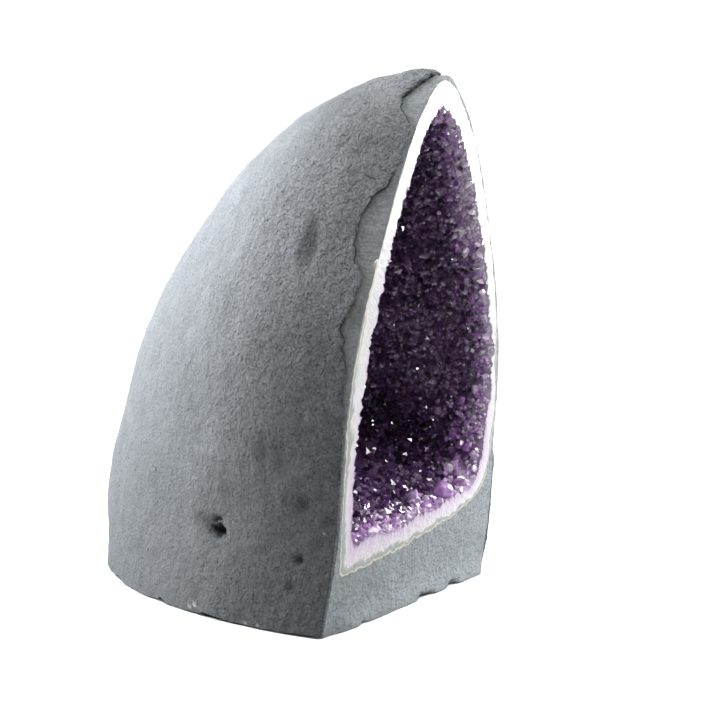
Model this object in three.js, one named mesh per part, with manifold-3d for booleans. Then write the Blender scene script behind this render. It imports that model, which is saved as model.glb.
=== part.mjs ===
// An amethyst geode, sawn open and stood on a sawn base: the tall "cathedral" kind.
//
// Millimetres, +Z up. The cut faces -Y and leans forward a little, the back is +Y, and the
// origin is on the ground in the middle of the geode's bounding box.
//
// The geode is four layers, from the outside in: a grey cement coat on the back, the rock that
// the pocket grew in, a thin agate rind, and quartz that ends in amethyst points.
import * as THREE from 'three';
import { mergeVertices } from 'three/addons/utils/BufferGeometryUtils.js';
import Module from 'manifold-3d';

const wasm = await Module();
wasm.setup();

// ---- Driving dimensions ----------------------------------------------------------------------

const GAP = 0.3; // between two layers that touch
const COAT_THICKNESS = 2.5;
const COAT_LIFT = 1; // the coat stops this far above the ground

const CROWN = 355.2; // highest point of the rock
const SHOULDER = 352; // the crown closes over above this height
const CUT_FOOT_Y = -105; // where the cut meets the ground
const CUT_LEAN = Math.tan(THREE.MathUtils.degToRad(3.5));

// Outline of the rock on the cut: [height, x] of its left and right edges.
const LEFT_EDGE = [
  [0, -97.7], [30, -91], [65, -85], [110, -83.5], [150, -81.5],
  [200, -71.5], [250, -52], [300, -31], [335, -9], [352, 10],
];
const RIGHT_EDGE = [
  [0, 97.7], [25, 108], [60, 111], [110, 111], [150, 111],
  [200, 102], [250, 86], [300, 65], [335, 43.5], [352, 26],
];
// How far the rock reaches behind the cut: [height, depth].
const BACK_DEPTH = [
  [0, 255], [60, 268], [120, 250], [180, 230], [240, 195], [290, 153], [330, 103], [352, 56],
];
// A level section is part of an ellipse. It is widest this far back, as a share of the depth,
// at the ground and at the crown.
const WIDEST = [0.2, 0.38];
const BACK_DRIFT = 0.28; // the back lies this share of the half width towards +X

// Ragged front edge of the coat: [height, distance behind the cut]. Below 128 mm it is flush.
const COAT_EDGE = [
  [128, -5], [141, 2], [154, 3.6], [173, 7.6], [184, 12.6], [199, 13.5], [209, 11.4], [222, 7.3],
  [230, 9], [250, 20.7], [258, 22.4], [273, 14.5], [287, 10], [299, 4.7], [310, 2], [323, 6],
  [333, 15], [348, 13.5], [356, 8], [362, 8],
];

// The pocket's rim on the cut, where rock meets agate: [x, height], from the lower left corner.
const POCKET_RIM = [
  [-79, 37], [-40, 38], [14, 43], [62, 50.5], [98, 64], [109.5, 98], [110, 140], [101, 198],
  [82, 258], [53, 319], [18, 353], [-13, 330], [-41, 275], [-66, 213], [-80.5, 152], [-82, 95],
];
const POCKET_DEPTH = 205;
const POCKET_MIDDLE = new THREE.Vector3(10, 0, 175);
const POCKET_DRIFT = new THREE.Vector3(12, 0, -14); // its middle moves this much by the back
const POCKET_TAPER = [1.8, 0.6]; // how the pocket narrows: soonness, and bluntness of its end
const OVERHANG = 6; // a tool that cuts a layer stands out in front of the cut this far

// How far each layer stands in from the pocket's rim, at the left, right, bottom and top.
const FLUSH = { left: 0, right: 0, bottom: 0, top: 0 };
const AGATE_INSET = { left: 1.8, right: 1.8, bottom: 3.8, top: 1.8 };
const QUARTZ_INSET = { left: 12, right: 6.5, bottom: 20, top: 10 };
const QUARTZ_BACK = 22; // quartz and points at the back of the pocket
const AGATE_BACK = 3;
const POINT_HEIGHT = [3, 8]; // shortest and longest amethyst point

const RIM_STEPS = 46; // points round a pocket ring
const WALL_RINGS = 8; // pocket rings from the cut to the back, for rock, agate and quartz
const POINT_RINGS = 13; // and for the amethyst points
const FLANK_STEPS = 25; // points round the back of a rock section

// ---- Curves ----------------------------------------------------------------------------------

/** A smooth function through [position, value] points, level with its ends outside them. */
function profile(points) {
  const slopes = points.slice(1).map(([x, y], i) => (y - points[i][1]) / (x - points[i][0]));
  const tangents = points.map((_, i) => {
    if (i === 0) return slopes[0];
    if (i === slopes.length) return slopes[i - 1];
    return (slopes[i - 1] + slopes[i]) / 2;
  });
  return (position) => {
    const x = THREE.MathUtils.clamp(position, points[0][0], points.at(-1)[0]);
    const i = Math.max(0, points.findIndex((point) => point[0] >= x) - 1);
    const width = points[i + 1][0] - points[i][0];
    const t = (x - points[i][0]) / width;
    const rise = points[i + 1][1] - points[i][1];
    const bend = width * (t * (1 - t) ** 2 * tangents[i] - t * t * (1 - t) * tangents[i + 1]);
    return points[i][1] + rise * t * t * (3 - 2 * t) + bend;
  };
}

const leftEdge = profile(LEFT_EDGE);
const rightEdge = profile(RIGHT_EDGE);
const backDepth = profile(BACK_DEPTH);
const cutY = (z) => CUT_FOOT_Y - z * CUT_LEAN;

/** A fixed pseudo-random number from 0 to 1 for a pair of whole numbers. */
function scatter(i, j) {
  const wave = Math.sin(i * 127.1 + j * 311.7) * 43758.5453;
  return wave - Math.floor(wave);
}

// ---- Solids ----------------------------------------------------------------------------------

/**
 * A closed solid through rings that all have the same number of points, capped at both ends.
 * Seen from the last ring's side, each ring runs clockwise.
 */
function loft(rings) {
  const count = rings[0].length;
  const middle = (ring) => ring.reduce((sum, point) => sum.add(point), new THREE.Vector3())
    .divideScalar(count);
  const points = [...rings.flat(), middle(rings[0]), middle(rings.at(-1))];
  const triangles = [];
  const lastRing = (rings.length - 1) * count;
  for (let j = 0; j < count; j += 1) {
    const next = (j + 1) % count;
    triangles.push(rings.length * count, j, next);
    triangles.push(rings.length * count + 1, lastRing + next, lastRing + j);
    for (let row = 0; row < lastRing; row += count) {
      triangles.push(row + j, row + count + next, row + next);
      triangles.push(row + j, row + count + j, row + count + next);
    }
  }
  return toSolid(points, triangles);
}

function toSolid(points, triangles) {
  const solid = new wasm.Manifold(new wasm.Mesh({
    numProp: 3,
    vertProperties: new Float32Array(points.flatMap((point) => point.toArray())),
    triVerts: new Uint32Array(triangles),
  }));
  if (solid.volume() < 0) throw new Error('a loft is inside out');
  return solid;
}

/**
 * Section of the geode's outside at height z, grown outwards, from the cut's left edge round.
 * Above the shoulder the crown closes over: it is a section drawn in to a share of its width.
 */
function bodySection(z, grow, share = 1) {
  const left = leftEdge(z) - grow;
  const right = rightEdge(z) + grow;
  const depth = backDepth(z) + grow;
  const halfWidth = (right - left) / 2;
  const widest = THREE.MathUtils.lerp(...WIDEST, z / SHOULDER);
  const cutAngle = Math.asin(widest / (1 - widest));
  return Array.from({ length: FLANK_STEPS }, (_, i) => {
    const angle = THREE.MathUtils.lerp(-cutAngle, Math.PI + cutAngle, i / (FLANK_STEPS - 1));
    const reach = widest + (1 - widest) * Math.sin(angle);
    const across = BACK_DRIFT * reach ** 2 - share * Math.cos(angle) / Math.cos(cutAngle);
    const rise = (CROWN + grow - SHOULDER) * (1 - share ** 2) * (1 - reach ** 2);
    const x = (left + right) / 2 + halfWidth * across;
    return new THREE.Vector3(x, cutY(z) + depth * reach, z + rise);
  });
}

/**
 * The whole geode, with no pocket, grown outwards by a layer's thickness. Where it is a tool that
 * cuts another layer, it stands out in front of the cut by an overhang.
 */
function body(grow, foot, overhang = 0) {
  const heights = [foot, 28, 60, 95, 130, 165, 200, 232, 262, 288, 310, 328, 341, 348, SHOULDER];
  const rings = heights.map((z) => bodySection(z, grow));
  for (const share of [0.8, 0.5, 0.2]) rings.push(bodySection(SHOULDER, grow, share));
  for (const ring of rings) for (const corner of [ring[0], ring.at(-1)]) corner.y -= overhang;
  return loft(rings);
}

/** Points round the pocket's rim, moved inwards by a layer's insets. */
function rimOutline(inset) {
  const corners = POCKET_RIM.map(([x, z]) => new THREE.Vector3(x, 0, z));
  const curve = new THREE.CatmullRomCurve3(corners, true, 'centripetal');
  return Array.from({ length: RIM_STEPS }, (_, i) => {
    const point = curve.getPointAt(i / RIM_STEPS);
    const along = curve.getTangentAt(i / RIM_STEPS);
    const inward = new THREE.Vector3(-along.z, 0, along.x);
    const sideways = inward.x * (inward.x > 0 ? inset.left : inset.right);
    const upright = inward.z * (inward.z > 0 ? inset.bottom : inset.top);
    return point.addScaledVector(inward, Math.hypot(sideways, upright));
  });
}

/**
 * The space inside a layer: the rim's outline, drawn in towards the back of the pocket.
 * relief(ring, step) moves each point of the wall inwards.
 */
function pocket(inset, depth, ringCount, relief = () => 0) {
  const outline = rimOutline(inset);
  const rings = [outline.map((point) => point.clone().setY(cutY(point.z) - OVERHANG))];
  for (let k = 0; k < ringCount; k += 1) {
    const reach = Math.sin((k / ringCount) * (Math.PI / 2) * 0.97);
    const shrink = (1 - reach ** POCKET_TAPER[0]) ** POCKET_TAPER[1];
    rings.push(outline.map((point, j) => {
      const arm = point.clone().sub(POCKET_MIDDLE);
      const keep = shrink * (1 - relief(k, j) / arm.length());
      const centre = POCKET_MIDDLE.clone().addScaledVector(POCKET_DRIFT, reach ** 2);
      const place = centre.addScaledVector(arm, keep);
      return place.setY(cutY(place.z) + depth * reach);
    }));
  }
  return loft(rings);
}

/** Height of the amethyst points: every second node of the pocket's wall is a point's tip. */
function pointRelief(ring, step) {
  if (ring === 0 || (ring + step) % 2) return 0;
  return THREE.MathUtils.lerp(...POINT_HEIGHT, scatter(ring, step));
}

/** Everything in front of the coat's ragged edge, as a block that reaches across the geode. */
function stripCutter() {
  const front = -40;
  const edge = new THREE.Shape();
  edge.moveTo(cutY(COAT_EDGE[0][0]) + front, COAT_EDGE[0][0]);
  edge.lineTo(cutY(COAT_EDGE.at(-1)[0]) + front, COAT_EDGE.at(-1)[0]);
  for (const [z, behind] of [...COAT_EDGE].reverse()) edge.lineTo(cutY(z) + behind, z);
  const width = 300;
  const block = new THREE.ExtrudeGeometry(edge, { depth: width, bevelEnabled: false });
  // The shape's (x, y) is the geode's (y, z), and its depth is the geode's x.
  block.applyMatrix4(new THREE.Matrix4().makeBasis(
    new THREE.Vector3(0, 1, 0),
    new THREE.Vector3(0, 0, 1),
    new THREE.Vector3(1, 0, 0),
  ));
  block.translate(-width / 2, 0, 0);
  return geometryToSolid(block);
}

function geometryToSolid(geometry) {
  geometry.deleteAttribute('normal');
  geometry.deleteAttribute('uv');
  const merged = mergeVertices(geometry, 1e-3);
  const positions = merged.getAttribute('position');
  const points = Array.from({ length: positions.count }, (_, i) => (
    new THREE.Vector3().fromBufferAttribute(positions, i)
  ));
  return toSolid(points, [...merged.getIndex().array]);
}

// ---- The geode's layers ----------------------------------------------------------------------

function toMesh(name, solid, look) {
  const { vertProperties, triVerts } = solid.getMesh();
  const geometry = new THREE.BufferGeometry();
  geometry.setAttribute('position', new THREE.BufferAttribute(vertProperties, 3));
  geometry.setIndex(new THREE.BufferAttribute(triVerts, 1));
  geometry.computeVertexNormals();
  const mesh = new THREE.Mesh(geometry, new THREE.MeshStandardMaterial(look));
  mesh.name = name;
  return mesh;
}

function grown(inset, by) {
  return Object.fromEntries(Object.entries(inset).map(([side, size]) => [side, size + by]));
}

function cementCoat() {
  const outside = body(GAP + COAT_THICKNESS, COAT_LIFT);
  const skin = outside.subtract(body(GAP, 0, OVERHANG)).subtract(stripCutter());
  return toMesh('cement_coat', skin, { color: 0x7d8489, roughness: 0.95, metalness: 0 });
}

function rockShell() {
  const rock = body(0, 0).subtract(pocket(FLUSH, POCKET_DEPTH, WALL_RINGS));
  return toMesh('rock_shell', rock, { color: 0x6f7679, roughness: 0.9, metalness: 0 });
}

function agateRind() {
  const outside = pocket(grown(FLUSH, GAP), POCKET_DEPTH - GAP, WALL_RINGS);
  const inside = pocket(AGATE_INSET, POCKET_DEPTH - AGATE_BACK, WALL_RINGS);
  const rind = outside.intersect(body(0, 0)).subtract(inside);
  return toMesh('agate_rind', rind, { color: 0x93a39d, roughness: 0.45, metalness: 0 });
}

function amethystCrystals() {
  const outside = pocket(grown(AGATE_INSET, GAP), POCKET_DEPTH - AGATE_BACK - GAP, WALL_RINGS);
  const depth = POCKET_DEPTH - AGATE_BACK - QUARTZ_BACK;
  const cavity = pocket(QUARTZ_INSET, depth, POINT_RINGS, pointRelief);
  const lining = outside.intersect(body(0, 0)).subtract(cavity);
  return toMesh('amethyst_crystals', lining, { color: 0x4a2368, roughness: 0.12, metalness: 0 });
}

const layers = new THREE.Group();
layers.add(cementCoat(), rockShell(), agateRind(), amethystCrystals());
const middle = new THREE.Box3().setFromObject(layers).getCenter(new THREE.Vector3());
layers.position.set(-middle.x, -middle.y, 0);

const geode = new THREE.Group();
geode.add(layers);
export default geode;
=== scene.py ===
"""An amethyst geode, sawn open and stood on its sawn base.

The shapes are worked out in millimetres in the drawing's own coordinates: the cut faces -Y, the
back is +Y, and z is the height above the ground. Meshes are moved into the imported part's frame,
in metres, when they are made.
"""

import math

import bpy
import numpy as np
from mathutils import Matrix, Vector


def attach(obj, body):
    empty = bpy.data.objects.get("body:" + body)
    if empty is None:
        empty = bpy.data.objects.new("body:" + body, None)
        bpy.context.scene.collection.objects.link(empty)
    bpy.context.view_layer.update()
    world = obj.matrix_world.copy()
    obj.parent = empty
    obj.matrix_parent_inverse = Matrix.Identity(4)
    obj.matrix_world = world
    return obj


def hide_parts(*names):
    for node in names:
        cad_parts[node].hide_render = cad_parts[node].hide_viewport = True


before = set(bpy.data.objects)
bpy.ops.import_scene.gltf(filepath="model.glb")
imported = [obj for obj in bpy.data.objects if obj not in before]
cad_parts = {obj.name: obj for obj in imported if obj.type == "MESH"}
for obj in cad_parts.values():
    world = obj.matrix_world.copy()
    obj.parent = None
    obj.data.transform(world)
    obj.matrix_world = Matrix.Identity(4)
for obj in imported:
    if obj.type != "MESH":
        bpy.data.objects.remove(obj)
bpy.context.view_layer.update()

MM = 0.001

# ---- The geode's outside (mm) ----

CROWN = 355.2  # highest point of the rock
SHOULDER = 352  # the crown closes over above this height
CUT_FOOT_Y = -105  # where the cut meets the ground
CUT_LEAN = math.tan(math.radians(3.5))
LEFT_EDGE = (  # (height, x) of the rock's left edge on the cut
    (0, -97.7), (30, -91), (65, -85), (110, -83.5), (150, -81.5),
    (200, -71.5), (250, -52), (300, -31), (335, -9), (352, 10),
)
RIGHT_EDGE = (
    (0, 97.7), (25, 108), (60, 111), (110, 111), (150, 111),
    (200, 102), (250, 86), (300, 65), (335, 43.5), (352, 26),
)
BACK_DEPTH = (  # (height, how far the rock reaches behind the cut)
    (0, 255), (60, 268), (120, 250), (180, 230), (240, 195), (290, 153), (330, 103), (352, 56),
)
WIDEST = (0.2, 0.38)  # where a level section is widest, as a share of its depth: ground, crown
BACK_DRIFT = 0.28  # the back lies this share of the half width towards +X

COAT_THICKNESS = 2.8
COAT_LIFT = 1  # the coat stops this far above the ground
COAT_EDGE = (  # (height, how far behind the cut the coat starts); it is flush below
    (128, -3), (142, 1.5), (155, 3.5), (175, 4.8), (186, 7), (194, 10.2), (209, 10.2),
    (219, 6.5), (230, 6.2), (241, 10.8), (249, 15.5), (258, 17.2), (268, 14.5), (274, 12.8),
    (283, 7.8), (291, 5), (298, 2.8), (305, 1.6), (318, 1.2), (327, 4.8), (331, 10.8),
    (336, 14.5), (341, 16.5), (345, 13.8), (350, 13.8), (356, 8), (362, 8),
)

# ---- The pocket (mm) ----

POCKET_RIM = (  # (x, height) on the cut where rock meets agate, from the lower left corner
    (-80.5, 37.5), (-74, 36.5), (-40, 38), (14, 43), (62, 50.5), (98, 64), (109.5, 98),
    (110, 140), (101, 198), (82, 258), (53, 319), (18, 353), (-13, 330), (-41, 275),
    (-66, 213), (-80.5, 152), (-82, 95), (-82, 48),
)
CRYSTAL_EDGE = (  # and where the white quartz gives way to amethyst
    (-67, 56), (-49, 56), (4, 58), (58, 63), (86, 72), (95, 95), (101, 150), (93, 190),
    (81, 232), (63, 275), (46, 306), (31, 325), (14, 334), (-5, 318), (-19, 292), (-35, 257),
    (-46, 229), (-56, 196), (-64, 150), (-70, 118), (-69, 85),
)
AGATE_WIDTH = (  # (direction from the pocket's middle in degrees, the agate's width on the cut)
    (-180, 4.2), (-162, 5.6), (-151, 9), (-142, 6.4), (-131, 6.4), (-125, 9), (-112, 7.6),
    (-102, 6.2), (-90, 4.6), (-60, 3.4), (-40, 3), (0, 2.2), (60, 1.2), (90, 1), (125, 1.6),
    (150, 3.6), (180, 4.2),
)
POCKET_MIDDLE = (10, 175)  # (x, height)
POCKET_DRIFT = (12, -14)  # its middle moves this much by the back
POCKET_TAPER = (1.8, 0.6)  # how the pocket narrows: soonness, and bluntness of its end
ROCK_DEPTH, AGATE_DEPTH, CRYSTAL_DEPTH = 205, 202, 180  # depth of each layer's inner wall
DEEPEST = 0.972  # share of a layer's depth where its wall closes over
CAVITY_DEEPEST = 0.997  # and the same for the bed of the points

CROWN_COLUMNS = 7  # columns of points on each half of the crown
SEED = 7


# ---- Numbers ----


def profile(points):
    """A smooth function through (position, value) points, level outside them."""
    xs, ys = np.array(points, float).T
    slopes = np.diff(ys) / np.diff(xs)
    tangents = np.concatenate([slopes[:1], (slopes[1:] + slopes[:-1]) / 2, slopes[-1:]])

    def value(position):
        x = np.clip(position, xs[0], xs[-1])
        i = np.clip(np.searchsorted(xs, x) - 1, 0, len(xs) - 2)
        width = xs[i + 1] - xs[i]
        t = (x - xs[i]) / width
        bend = width * (t * (1 - t) ** 2 * tangents[i] - t * t * (1 - t) * tangents[i + 1])
        return ys[i] + (ys[i + 1] - ys[i]) * t * t * (3 - 2 * t) + bend

    return value


def lattice(x, y, z, seed):
    """A fixed pseudo-random number from -1 to 1 for each whole-number point."""
    mixed = (x * 374761393 + y * 668265263 + z * 1440670441 + seed * 1274126177) & 0xFFFFFFFF
    mixed = ((mixed ^ (mixed >> 13)) * 1103515245) & 0xFFFFFFFF
    mixed = ((mixed ^ (mixed >> 16)) * 2246822519) & 0xFFFFFFFF
    return ((mixed >> 7) & 0xFFFFFF) / 0x7FFFFF - 1


def noise(points, size, seed=0):
    """Smooth noise from -1 to 1 at each point, with lumps of about this size."""
    place = np.asarray(points, float) / size
    cell = np.floor(place).astype(np.int64)
    t = place - cell
    t = t * t * t * (t * (6 * t - 15) + 10)
    total = np.zeros(place.shape[:-1])
    for corner in np.ndindex(2, 2, 2):
        weight = np.prod(np.where(corner, t, 1 - t), axis=-1)
        x, y, z = np.moveaxis(cell + corner, -1, 0)
        total += weight * lattice(x, y, z, seed)
    return total


def fractal(points, size, octaves, seed=0):
    """Noise with finer and fainter noise laid over it."""
    return sum(noise(points, size / 2**i, seed + i) / 2**i for i in range(octaves))


def layered(points, seed, *waves):
    """Noise of several (size, height)s laid over each other."""
    return sum(height * noise(points, size, seed + i) for i, (size, height) in enumerate(waves))


def joined(*coordinates):
    """Points from their coordinates."""
    return np.stack(np.broadcast_arrays(*coordinates), axis=-1)


def unit(vectors):
    return vectors / np.linalg.norm(vectors, axis=1, keepdims=True)


def run_length(x, y):
    """How far along a line each of its points lies."""
    return np.concatenate([[0], np.cumsum(np.hypot(np.diff(x), np.diff(y)))])


def smoothstep(low, high, value):
    """0 below low, 1 above high, and smooth between; low may be the larger one."""
    t = np.clip((np.asarray(value, float) - low) / (high - low), 0, 1)
    return t * t * (3 - 2 * t)


left_edge = profile(LEFT_EDGE)
right_edge = profile(RIGHT_EDGE)
back_depth = profile(BACK_DEPTH)
coat_edge = profile(COAT_EDGE)


def cut_y(height):
    return CUT_FOOT_Y - height * CUT_LEAN


def on_cut(x, z):
    return joined(x, cut_y(z), z)


def behind_cut(points):
    return points[..., 1] - cut_y(points[..., 2])


# ---- The geode's outside ----


def widest_at(height):
    return WIDEST[0] + (WIDEST[1] - WIDEST[0]) * height / SHOULDER


def section_angle(height, behind):
    """Where on its level section the outside is this far behind the cut; pi/2 is the back."""
    widest = widest_at(height)
    return np.arcsin(np.clip((behind / back_depth(height) - widest) / (1 - widest), -1, 1))


def body_point(height, side, angle, grow):
    """
    Points of the geode's outside, grown outwards. side is 1 on the left and -1 on the right, and
    between them over the crown.
    """
    left = left_edge(height) - grow
    right = right_edge(height) + grow
    widest = widest_at(height)
    reach = widest + (1 - widest) * np.sin(angle)
    cut_angle = np.arcsin(widest / (1 - widest))
    across = BACK_DRIFT * reach**2 - side * np.cos(angle) / np.cos(cut_angle)
    x = (left + right) / 2 + (right - left) / 2 * across
    y = cut_y(height) + (back_depth(height) + grow) * reach
    z = height + (CROWN + grow - SHOULDER) * (1 - side**2) * (1 - reach**2)
    return joined(x, y, z)


def outline_columns(step, foot, cap_steps):
    """(height, side) of columns from the left foot of the cut over the crown to the right one."""
    heights = np.linspace(foot, SHOULDER, 2000)
    along = run_length((right_edge(heights) - left_edge(heights)) / 2, heights)
    count = round(along[-1] / step)
    climb = np.interp(np.linspace(0, along[-1], count + 1), along, heights)
    cap = np.linspace(1, 0, cap_steps + 1)[1:]
    height = np.concatenate([climb, np.full(cap_steps, SHOULDER)])
    side = np.concatenate([np.ones(count + 1), cap])
    return np.concatenate([height, height[-2::-1]]), np.concatenate([side, -side[-2::-1]])


# ---- The pocket's walls ----


def polar_outline(corners):
    """Distance from the pocket's middle to a smooth closed outline, as a function of direction."""
    corners = np.array(corners, float) - POCKET_MIDDLE
    before, after = np.roll(corners, 1, axis=0), np.roll(corners, -1, axis=0)
    slopes = (after - before) / 2
    t = np.linspace(0, 1, 24, endpoint=False)[:, None, None]
    ends = (2 * t**3 - 3 * t**2 + 1) * corners + (3 * t**2 - 2 * t**3) * after
    bends = (t**3 - 2 * t**2 + t) * slopes + (t**3 - t**2) * np.roll(slopes, -1, axis=0)
    curve = np.swapaxes(ends + bends, 0, 1).reshape(-1, 2)
    angle = np.arctan2(curve[:, 1], curve[:, 0])
    radius = np.hypot(*curve.T)
    order = np.argsort(angle)
    angle, radius = angle[order], radius[order]
    return lambda direction: np.interp(direction, angle, radius, period=2 * math.pi)


smooth_rim_radius = polar_outline(POCKET_RIM)
crystal_radius = polar_outline(CRYSTAL_EDGE)
agate_width = profile(AGATE_WIDTH)


def around(direction, radius):
    """The points of an outline on the cut, for noise to read."""
    return joined(radius * np.cos(direction), 0, radius * np.sin(direction))


def rim_radius(direction):
    """Where rock meets agate on the cut."""
    radius = smooth_rim_radius(direction)
    return radius + 0.75 * fractal(around(direction, radius), 9, 4, SEED + 12) - 0.4


def agate_radius(direction):
    """The agate's inner outline on the cut; its width wanders along the rim."""
    radius = rim_radius(direction)
    wander = 1 + 0.4 * fractal(around(direction, radius), 10, 3, SEED + 10)
    return radius - agate_width(np.degrees(direction)) * wander


def rim_directions(step):
    """Directions from the pocket's middle to points evenly spaced along its rim."""
    dense = np.linspace(-math.pi, math.pi, 4000)
    x, z = rim_radius(dense) * np.array([np.cos(dense), np.sin(dense)])
    along = run_length(x, z)
    count = round(along[-1] / step)
    return np.interp(np.arange(count) * along[-1] / count, along, dense)


def deepening(count, deepest=DEEPEST):
    """Shares of a wall's depth, evenly spaced along its curve."""
    return np.sin(np.linspace(0, math.asin(deepest), count))[:, None]


def wall_point(direction, radius, reach, depth):
    """Points of a layer's wall, at a share of its depth into the pocket."""
    shrink = np.maximum(1 - reach ** POCKET_TAPER[0], 0) ** POCKET_TAPER[1]
    x = POCKET_MIDDLE[0] + POCKET_DRIFT[0] * reach**2 + radius * shrink * np.cos(direction)
    z = POCKET_MIDDLE[1] + POCKET_DRIFT[1] * reach**2 + radius * shrink * np.sin(direction)
    return joined(x, cut_y(z) + depth * reach, z)


def front_rows(direction, first, last, count):
    """Rows of points on the cut, from one outline to another."""
    radius = first + (last - first) * np.linspace(0, 1, count)[:, None]
    return on_cut(POCKET_MIDDLE[0] + radius * np.cos(direction),
                  POCKET_MIDDLE[1] + radius * np.sin(direction))


def toothed_radius(direction):
    """Where the quartz ends on the cut: in the sawn-through roots of the amethyst points."""
    radius = crystal_radius(direction)
    edge = around(direction, radius)
    teeth = 3.4 * np.abs(noise(edge, 4, SEED + 8)) + 1.6 * np.abs(noise(edge, 1.9, SEED + 9))
    wander = 1.8 + 1.6 * np.maximum(np.cos(direction), 0)
    return radius + 2 - teeth + wander * noise(edge, 12, SEED + 11)


def cavity_point(direction, reach):
    """Points of the lumpy wall that the amethyst points stand on."""
    radius = crystal_radius(direction)
    radius = radius + (toothed_radius(direction) - radius) * smoothstep(0.04, 0, reach)
    smooth = wall_point(direction, radius, reach, CRYSTAL_DEPTH)
    inside = smoothstep(0, 0.12, reach)
    lumps = 4.2 * fractal(smooth, 36, 2, SEED) + 1.8 * fractal(smooth, 10, 2, SEED + 5)
    return wall_point(direction, radius - (4.5 + lumps) * inside, reach, CRYSTAL_DEPTH)


# ---- Meshes ----


def grid_faces(rows, columns, closed=False, first=0):
    """Quads of a grid of points, row by row; closed joins the last column to the first."""
    row = np.arange(rows - 1)[:, None] * columns + first
    column = np.arange(columns if closed else columns - 1)[None, :]
    beside = (column + 1) % columns
    below = row + columns
    return joined(row + column, row + beside, below + beside, below + column).reshape(-1, 4)


def weld(points, faces):
    """Joins points in the same place, and drops the faces and corners that close up."""
    _, first, index = np.unique(np.round(points, 3), axis=0, return_index=True,
                                return_inverse=True)
    index = index.ravel()
    kept = []
    for face in faces:
        corners = index[np.asarray(face)]
        corners = [int(a) for a, b in zip(corners, np.roll(corners, 1)) if a != b]
        if len(corners) > 2:
            kept.append(corners)
    return points[first], kept, first


def to_frame(points):
    return (points + DRAWING_SHIFT) * MM


def build_mesh(name, points, faces, relief=None, attributes=None, smooth_angle=40):
    """
    A closed mesh with its faces pointing out. relief(points, normals, kept) says how far each
    point moves, where kept are the indices of the points that welding leaves. attributes are
    numbers or vectors at each point, for the material to read.
    """
    points, faces, kept = weld(points, faces)
    mesh = bpy.data.meshes.new(name)
    mesh.from_pydata(points.tolist(), [], faces)
    if signed_volume(mesh) < 0:
        mesh.flip_normals()
    if relief is not None:
        points = points + relief(points, at_vertices(mesh, "normal"), kept)
    mesh.vertices.foreach_set("co", to_frame(points).astype(np.float32).ravel())
    for label, values in (attributes or {}).items():
        add_attribute(mesh, label, np.asarray(values)[kept])
    mesh.polygons.foreach_set("use_smooth", np.ones(len(mesh.polygons), bool))
    mesh.set_sharp_from_angle(angle=math.radians(smooth_angle))
    mesh.update()
    return mesh


def at_vertices(mesh, field):
    """The place or the normal at each vertex."""
    values = np.empty(len(mesh.vertices) * 3, np.float32)
    mesh.vertices.foreach_get(field, values)
    return values.reshape(-1, 3).astype(float)


def signed_volume(mesh):
    mesh.calc_loop_triangles()
    corners = np.empty(len(mesh.loop_triangles) * 3, np.int32)
    mesh.loop_triangles.foreach_get("vertices", corners)
    a, b, c = np.moveaxis(at_vertices(mesh, "co")[corners.reshape(-1, 3)], 1, 0)
    return np.einsum("ij,ij->i", a, np.cross(b, c)).sum()


def add_attribute(mesh, label, values):
    kind = "FLOAT" if values.ndim == 1 else "FLOAT_VECTOR"
    attribute = mesh.attributes.new(label, kind, "POINT")
    field = "value" if values.ndim == 1 else "vector"
    attribute.data.foreach_set(field, values.astype(np.float32).ravel())


def add_object(name, data):
    made = bpy.data.objects.new(name, data)
    bpy.context.scene.collection.objects.link(made)
    return made


def place(mesh, material, node, slot):
    """Puts a mesh in the scene as a piece of the geode."""
    mesh.materials.append(material)
    piece = add_object(mesh.name, mesh)
    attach(piece, "root")
    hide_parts(node)


def drawing_shift():
    """From the frame's origin, which is on the ground below mid box, to the drawing's."""
    height, side = outline_columns(4, 0, 6)
    angles = np.linspace(section_angle(height, 0), math.pi / 2, 60)
    outside = body_point(height, side, angles, COAT_THICKNESS)
    front = body_point(height, side, section_angle(height, 0), 0)
    low = np.minimum(outside.min(axis=(0, 1)), front.min(axis=0))
    high = outside.max(axis=(0, 1))
    return -(low + high) / 2 * (1, 1, 0)


DRAWING_SHIFT = drawing_shift()


# ---- Cement coat ----

COAT_STEP = 1.5  # spacing of the columns
COAT_ROWS, COAT_INNER_ROWS = 145, 20
COAT_LIP = (  # (share of the undercut, further behind the edge, height above the rock)
    (1, 0, 0.05), (0.45, 0, 0.9), (0, 0, 1.9), (0, 0.3, 2.55), (0, 0.9, 2.8),
)
UNDERCUT = 1.1
RIGHT_SETBACK = 6  # how far behind the cut the coat stops on the right, above the foot
PIT = (-89, -16, 59)  # a deep hole in the coat, low on the left
PIT_SIZE, PIT_DEPTH = (8.5, 9, 7.5), 8.5
UNDER_PIT_SIZE, UNDER_PIT_DEPTH = (34, 34, 34), 14
DIMPLES = (  # (middle, size along x, y and z, depth)
    ((-5, -108, 356), (34, 14, 16), -4.2),
    ((-63, -73, 252), (9, 6, 17), 3.0),
    ((-66, -70, 243), (6, 5, 8), 1.4),
    ((-33, -100, 313), (14, 10, 6), 0.8),
    ((-30, -58, 315), (4, 4, 3), 0.9),
    ((-48, -43, 280), (3, 3, 3), 0.8),
    ((-91, -55, 114), (9, 5, 12), 1.5),
    ((-91, -70, 112), (9, 7, 13), 1.0),
    ((-90, -85, 84), (7, 6, 6), 2.0),
    ((-87, -6, 62), (12, 10, 6), 2.6),
    ((-93, -84, 48), (3.2, 3.2, 2.8), 3.2),
    ((-97, -80, 30), (4.5, 4.5, 3.5), 1.8),
    ((-88, -106, 75), (5, 5, 4), 0.9),
    ((-93, -4, 16), (6, 6, 5), 0.7),
)
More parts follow.
